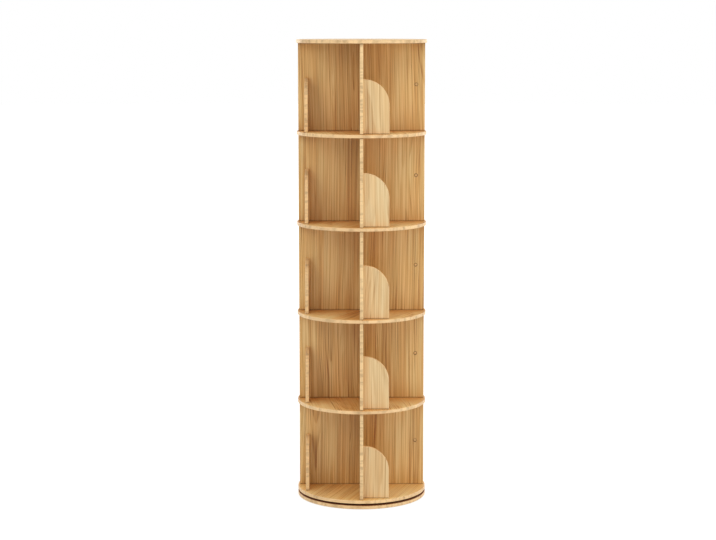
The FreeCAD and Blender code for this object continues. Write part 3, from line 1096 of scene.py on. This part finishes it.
@dataclass
class CamLocks(Hardware):
    """The cam locks that draw the panels to the shelves, cast with a raised rim and an arrow to the bolt."""

    PIECE = "cast_cam_locks"
    NODE = "cam_locks"
    SLOT = CAST_ZINC.name

    diameter: float = 12.0 * MM
    depth: float = 9.5 * MM
    sunk: float = 0.05 * MM  # face of the panel to the top of the lock
    rim_width: float = 0.9 * MM
    rim_round: float = 0.35 * MM
    groove_width: float = 0.5 * MM
    groove_depth: float = 0.25 * MM
    recess: CrossRecess = CrossRecess(span=5.6 * MM, width=1.5 * MM, depth=1.6 * MM)
    arrow_size: float = 1.3 * MM
    arrow_from_axis: float = 3.55 * MM
    arrow_depth: float = 0.35 * MM
    mouth_diameter: float = 5.4 * MM
    mouth_depth: float = 6.0 * MM
    from_axis: float = 140.0 * MM
    from_shelf: float = 24.0 * MM
    panel_face: float = 6.0 * MM

    def model(self) -> Workpiece:
        """Model one lock, with the panel's face at Z = 0 and its bolt coming from +Y.

        Returns:
            The lock.
        """
        top = -self.sunk
        lock = Workpiece.rod("lock", self.diameter, Vector((0, 0, -self.depth)), Vector((0, 0, top)))
        lock.groove(top, top - self.groove_depth, self.rim_width, self.groove_width)
        lock.bevel(rim_at(top, self.diameter), self.rim_round, segments=3)
        lock.cut(self.recess.cutter(top))
        arrow, depth = Vector((0, self.arrow_from_axis, top)), Vector((0, 0, self.arrow_depth))
        lock.cut(Workpiece.rod("arrow_cutter", self.arrow_size, arrow - depth, arrow + depth, sides=3))
        heart = Vector((0, 0, -self.mouth_depth))
        mouth = heart + Vector((0, self.diameter, 0))
        lock.cut(Workpiece.rod("mouth_cutter", self.mouth_diameter, heart, mouth))
        lock.dress(CAST_ZINC.material())
        return lock

    def side(self, arm: Arm) -> float:
        """The side of an arm that its locks are on: the panel that runs right across has all at the back."""
        return 1.0 if arm is Arm.RIGHT else -1.0

    def places(self, tiers: list[Tier]) -> Iterator[Matrix]:
        """Give the placement of each lock, at the foot and the head of every arm.

        Args:
            tiers: the bookcase's tiers.

        Returns:
            The placements of the locks, one by one.
        """
        up = Vector((0, 0, 1))
        for tier in tiers:
            foot, head = tier.floor + self.from_shelf, tier.ceiling - self.from_shelf
            for arm in Arm:
                outwards = Vector((self.side(arm), 0, 0))
                for height, to_bolt in ((foot, -up), (head, up)):
                    point = outwards * self.panel_face + Vector((0, -self.from_axis, height))
                    yield seat(arm, point, outwards, to_bolt)


@dataclass
class FootPads(Hardware):
    """The rubber pads that the base board stands on, each with a grooved sole."""

    PIECE = "grooved_foot_pads"
    NODE = "foot_pads"
    BODY = "base"
    SLOT = PAD_RUBBER.name

    diameter: float = 30.0 * MM
    height: float = 2.0 * MM
    edge_round: float = 0.5 * MM
    groove_from_edge: float = 4.0 * MM
    groove_width: float = 3.0 * MM
    groove_depth: float = 0.6 * MM
    from_axis: float = 190.0 * MM
    count: int = 8

    def model(self) -> Workpiece:
        """Model one pad, standing on Z = 0.

        Returns:
            The pad.
        """
        pad = Workpiece.rod("pad", self.diameter, Vector(), Vector((0, 0, self.height)))
        pad.groove(0.0, self.groove_depth, self.groove_from_edge, self.groove_width)
        pad.bevel(rim_at(0.0, self.diameter), self.edge_round, segments=3)
        pad.dress(PAD_RUBBER.material())
        return pad

    def places(self, tiers: list[Tier]) -> Iterator[Matrix]:
        """Give the placement of each pad, in a ring under the rim.

        Args:
            tiers: the bookcase's tiers, not used.

        Returns:
            The placements of the pads, one by one.
        """
        for number in range(self.count):
            turn = Matrix.Rotation(math.tau * (number + 0.5) / self.count, 4, "Z")
            yield turn @ Matrix.Translation((self.from_axis, 0, 0))


@dataclass
class PineBoards:
    """The round boards, divider panels and book stops, which keep their solids and get a finish each."""

    seed: int = 18

    def kinds(self) -> dict[str, tuple[WoodFinish, Lie]]:
        """Say how each kind of board is finished.

        Returns:
            The finish and lie of the boards, by how their names start.
        """
        kinds = {
            "base_board": (PINE_BASE_BOARD, Lie.FLAT),
            "bottom_shelf": (PINE_BOTTOM_SHELF, Lie.FLAT),
            "shelf_": (PINE_ROUND_BOARD, Lie.FLAT),
            "top_board": (PINE_TOP_BOARD_DARKENED, Lie.FLAT),
            "cross_panel_": (PINE_PANEL, Lie.UPRIGHT_ACROSS),
            "front_panel_": (PINE_PANEL, Lie.UPRIGHT_FRONT_TO_BACK),
            "rear_panel_": (PINE_PANEL, Lie.UPRIGHT_FRONT_TO_BACK),
        }
        for arm in Arm:
            kinds[f"book_stop_{arm.name.lower()}_"] = (PINE_BOOK_STOP, arm.lie)
        return kinds

    def dress(self, nodes: dict[str, bpy.types.Object]) -> Iterator[str]:
        """Give every board its own cut of pine.

        Args:
            nodes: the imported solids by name.

        Returns:
            The names of the boards, as they are dressed.
        """
        chance = random.Random(self.seed)
        kinds = self.kinds()
        for name in sorted(nodes):
            for start, (finish, lie) in kinds.items():
                if name.startswith(start):
                    nodes[name].material_slots[0].material = finish.material(name, lie, chance)
                    yield name


@dataclass
class Fittings:
    """The dowels, bolts and bearing parts, which keep their solids and get a finish."""

    seed: int = 7

    def dress(self, nodes: dict[str, bpy.types.Object]) -> Iterator[str]:
        """Give each solid its finish.

        Args:
            nodes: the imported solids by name.

        Returns:
            The names of the solids, as they are dressed.
        """
        chance = random.Random(self.seed)
        dowels = {
            "tier_dowels": Lie.UPRIGHT_ACROSS,
            "end_dowels": Lie.UPRIGHT_ACROSS,
            "book_stop_dowels": Lie.UPRIGHT_ACROSS,
            "cross_dowels": Lie.FLAT,
        }
        finishes = {
            "bearing_ball_cage": CAGE_NYLON,
            "bearing_balls": STEEL,
            "bearing_inner_ring": ALUMINIUM,
            "bearing_outer_ring": ALUMINIUM,
            "tier_cam_bolts": CAST_ZINC,
            "end_cam_bolts": CAST_ZINC,
            "bearing_inner_screws": YELLOW_ZINC,
            "bearing_outer_screws": YELLOW_ZINC,
        }
        materials = {name: BEECH_DOWEL.material(name, lie, chance) for name, lie in dowels.items()}
        materials |= {name: finish.material() for name, finish in finishes.items()}
        for name, material in materials.items():
            nodes[name].material_slots[0].material = material
            yield name


@dataclass(frozen=True)
class Lamp:
    """A soft lamp: its name, its place in metres and its power in watts."""

    name: str
    place: Place
    watts: float


@dataclass
class Studio:
    """The camera, the soft lamps and the white floor that the bookcase stands on."""

    camera_place: Place = (0.0, -6.088, 1.662)  # metres
    camera_tilt: float = 81.956  # degrees up from straight down
    lens: float = 88.25  # millimetres
    sensor: float = 36.0  # millimetres, its width
    picture_width: float = 716.0  # pixels
    axis_offset: float = 3.55  # pixels from the middle of the picture to the bookcase's axis
    floor_size: float = 60.0  # metres across
    floor_sides: int = 64
    floor_grey: float = 0.8  # what the bookcase sees
    shadow_grey: float = 0.45  # what the camera sees
    shadow_glow: float = 0.72  # what is added to that near the bookcase, where a shadow shows
    shadow_reach: float = 0.6  # metres from the axis, where the floor starts to fade to plain white
    shadow_end: float = 3.0  # metres from the axis, where it is plain white
    world_level: float = 0.65  # the light from all round, where plain white is 1
    aim: Place = (0.0, 0.0, 0.85)  # metres, what the lamps face
    lamp_side: float = 2.4  # metres
    lamps: tuple[Lamp, ...] = (
        Lamp("right_lamp", (4.0, -2.8, 1.0), 47.0),
        Lamp("high_right_lamp", (1.6, -2.0, 4.6), 41.0),
        Lamp("high_left_lamp", (-2.6, -3.2, 3.6), 40.0),
        Lamp("rear_left_lamp", (-2.9, 4.4, 1.8), 60.0),
        Lamp("rear_right_lamp", (2.9, 4.4, 1.8), 40.0),
    )

    def set_camera(self) -> None:
        """Stand the camera in front of the bookcase, a little above it and looking down."""
        deselect()
        turn = (math.radians(self.camera_tilt), 0, 0)
        bpy.ops.object.camera_add(location=self.camera_place, rotation=turn)
        camera = bpy.context.object
        camera.name = "camera"
        camera.data.sensor_width = self.sensor
        camera.data.lens = self.lens
        camera.data.shift_x = -self.axis_offset / self.picture_width
        bpy.context.scene.camera = camera
        bpy.context.scene.view_settings.view_transform = "Standard"

    def seen(self, nodes: Nodes) -> Socket:
        """A mask of what the camera sees straight, in a reflection or through glass."""
        path = nodes.add("ShaderNodeLightPath").outputs
        return nodes.greatest(path["Is Camera Ray"], path["Is Glossy Ray"], path["Is Transmission Ray"])

    def set_world(self) -> None:
        """Light the room evenly, with plain white where the camera looks past the floor."""
        world = bpy.data.worlds.new("studio")
        bpy.context.scene.world = world
        nodes = Nodes.fresh(world)
        strength = nodes.ramp(self.seen(nodes), 0.0, 1.0, self.world_level, 1.0)
        background = nodes.add("ShaderNodeBackground", {"Color": WHITE, "Strength": strength})
        nodes.add("ShaderNodeOutputWorld", {"Surface": background.outputs[0]})

    def lay_floor(self) -> None:
        """Lay the white floor, which keeps a soft shadow of the bookcase."""
        deselect()
        bpy.ops.mesh.primitive_circle_add(
            vertices=self.floor_sides, radius=self.floor_size / 2, fill_type="NGON")
        floor = bpy.context.object
        floor.name = "floor"
        material = bpy.data.materials.new("floor_white")
        nodes = Nodes.fresh(material)
        seen = self.seen(nodes)
        x, y, _ = nodes.split(nodes.add("ShaderNodeTexCoord").outputs["Object"])
        glow = nodes.ramp(nodes.distance(x, y), self.shadow_reach, self.shadow_end, self.shadow_glow, 1.0)
        shader = nodes.add("ShaderNodeBsdfPrincipled", {
            "Base Color": nodes.mix(seen, grey(self.floor_grey), grey(self.shadow_grey)),
            "Roughness": 1.0,
            "Specular IOR Level": 0.0,
            "Emission Color": WHITE,
            "Emission Strength": nodes.math("MULTIPLY", seen, glow),
        })
        nodes.add("ShaderNodeOutputMaterial", {"Surface": shader.outputs[0]})
        floor.data.materials.append(material)
        floor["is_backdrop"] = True

    def hang(self, lamp: Lamp) -> None:
        """Hang a square soft lamp that faces the bookcase.

        Args:
            lamp: where it hangs and how strong it is.
        """
        turn = (Vector(self.aim) - Vector(lamp.place)).to_track_quat("-Z", "Y").to_euler()
        deselect()
        bpy.ops.object.light_add(type="AREA", location=lamp.place, rotation=turn)
        hung = bpy.context.object
        hung.name = lamp.name
        hung.data.size = self.lamp_side
        hung.data.energy = lamp.watts

    def light(self) -> None:
        """Set the world, the floor and the lamps."""
        self.set_world()
        self.lay_floor()
        for lamp in self.lamps:
            self.hang(lamp)


def write_sizes(solids: tuple[Vector, Vector]) -> None:
    """Work out the box of the solids and the box of the dressed bookcase, and keep neither.

    Args:
        solids: the lowest and highest corner of the solids.
    """
    boxes = {"cad": solids, "visual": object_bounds()}
    {name: [list(corner) for corner in box] for name, box in boxes.items()}


def main() -> None:
    """Build the studio and the bookcase, and report each piece."""
    logging.basicConfig(level=logging.INFO, format="%(name)s: %(message)s")
    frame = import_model()
    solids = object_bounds()
    nodes = frame["nodes"]
    studio = Studio()
    studio.set_camera()
    studio.light()
    for name in PineBoards().dress(nodes):
        log.info("board %s", name)
    for name in Fittings().dress(nodes):
        log.info("fitting %s", name)
    tiers = Tier.all_of(nodes)
    for hardware in (BookStopScrews(), CamLocks(), FootPads()):
        piece = hardware.build(tiers)
        log.info("%s, %d faces", piece.name, len(piece.data.polygons))
    write_sizes(solids)


if __name__ == "__main__":
    main()
